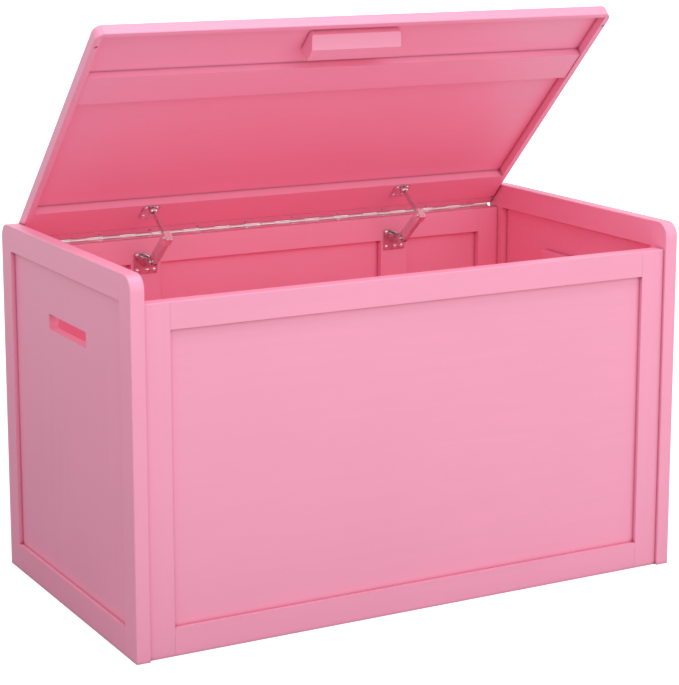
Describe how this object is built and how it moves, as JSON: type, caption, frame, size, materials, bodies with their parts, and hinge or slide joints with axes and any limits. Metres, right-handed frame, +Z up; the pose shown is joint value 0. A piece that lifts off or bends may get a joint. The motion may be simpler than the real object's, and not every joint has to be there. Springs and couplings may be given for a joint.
{
  "type": "toy box",
  "caption": "Long wooden chest with framed walls, a hand slot in each end, and a framed lid on a rear hinge held open by folding stays.",
  "frame": {"origin": "middle of the footprint, on the floor", "axes": "+X along the length to the right seen from the front, +Y to the rear where the hinge is, +Z up"},
  "size_m": [0.762, 0.4263, 0.7268],
  "materials": {
    "painted_frame": "satin pink paint",
    "painted_panel": "satin pink paint",
    "painted_inside": "satin pink paint",
    "bright_hinge": "bright plated",
    "stay_steel": "zinc plated",
    "cap_steel": "zinc plated",
    "screw_steel": "bright plated",
    "zinc_fitting": "die-cast zinc"
  },
  "bodies": {
    "box": {"bottom_board": "painted_inside", "cam_bolts": "zinc_fitting", "cam_locks": "zinc_fitting", "front_bottom_rail": "painted_frame", "front_cleat": "painted_inside", "front_left_stile": "painted_frame", "front_panel": "painted_panel", "front_right_stile": "painted_frame", "front_top_rail": "painted_frame", "hinge_pin": "bright_hinge", "hinge_wall_leaf": "bright_hinge", "hinge_wall_screws": "screw_steel", "left_end_bottom_rail": "painted_frame", "left_end_front_stile": "painted_frame", "left_end_panel": "painted_panel", "left_end_rear_stile": "painted_frame", "left_end_top_rail": "painted_frame", "left_grip_block": "painted_frame", "left_wall_bracket": "stay_steel", "lower_pivot_pins": "stay_steel", "rear_bottom_rail": "painted_frame", "rear_cleat": "painted_inside", "rear_left_muntin": "painted_frame", "rear_left_stile": "painted_frame", "rear_panel": "painted_panel", "rear_right_muntin": "painted_frame", "rear_right_stile": "painted_frame", "rear_top_rail": "painted_frame", "right_end_bottom_rail": "painted_frame", "right_end_front_stile": "painted_frame", "right_end_panel": "painted_panel", "right_end_rear_stile": "painted_frame", "right_end_top_rail": "painted_frame", "right_grip_block": "painted_frame", "right_wall_bracket": "stay_steel", "wall_bracket_screws": "screw_steel"},
    "lid": {"hinge_lid_leaf": "bright_hinge", "hinge_lid_screws": "screw_steel", "left_lid_bracket": "stay_steel", "lid_bracket_screws": "screw_steel", "lid_cross_rail": "painted_frame", "lid_front_rail": "painted_frame", "lid_guide_block": "painted_frame", "lid_left_rail": "painted_frame", "lid_rail_screws": "screw_steel", "lid_rear_batten": "painted_frame", "lid_right_rail": "painted_frame", "lid_top_panel": "painted_panel", "right_lid_bracket": "stay_steel", "upper_pivot_pins": "stay_steel"},
    "left_lower_arm": {"left_lower_arm": "stay_steel", "left_arm_cap": "cap_steel", "left_elbow_pin": "stay_steel", "left_elbow_washers": "stay_steel"},
    "left_upper_arm": {"left_upper_arm": "stay_steel"},
    "right_lower_arm": {"right_lower_arm": "stay_steel", "right_arm_cap": "cap_steel", "right_elbow_pin": "stay_steel", "right_elbow_washers": "stay_steel"},
    "right_upper_arm": {"right_upper_arm": "stay_steel"}
  },
  "joints": [
    {"name": "lid_hinge", "type": "hinge", "parent": "box", "child": "lid", "pos_m": [0, 0.206, 0.4248], "axis": [-1, 0, 0], "range_deg": [-45, 35]},
    {"name": "left_lower_arm_pivot", "type": "hinge", "parent": "box", "child": "left_lower_arm", "pos_m": [-0.19, 0.1638, 0.3952], "axis": [-1, 0, 0], "range_deg": [-45, 35]},
    {"name": "left_upper_arm_pivot", "type": "hinge", "parent": "lid", "child": "left_upper_arm", "pos_m": [-0.19, 0.16025, 0.4639], "axis": [-1, 0, 0], "range_deg": [-35, 45]},
    {"name": "right_lower_arm_pivot", "type": "hinge", "parent": "box", "child": "right_lower_arm", "pos_m": [0.19, 0.1638, 0.3952], "axis": [-1, 0, 0], "range_deg": [-45, 35]},
    {"name": "right_upper_arm_pivot", "type": "hinge", "parent": "lid", "child": "right_upper_arm", "pos_m": [0.19, 0.16025, 0.4639], "axis": [-1, 0, 0], "range_deg": [-35, 45]}
  ],
  "couplings": [
    {"joint": "left_lower_arm_pivot", "follows": "lid_hinge", "ratio": 1},
    {"joint": "left_upper_arm_pivot", "follows": "lid_hinge", "ratio": -1},
    {"joint": "right_lower_arm_pivot", "follows": "lid_hinge", "ratio": 1},
    {"joint": "right_upper_arm_pivot", "follows": "lid_hinge", "ratio": -1}
  ]
}
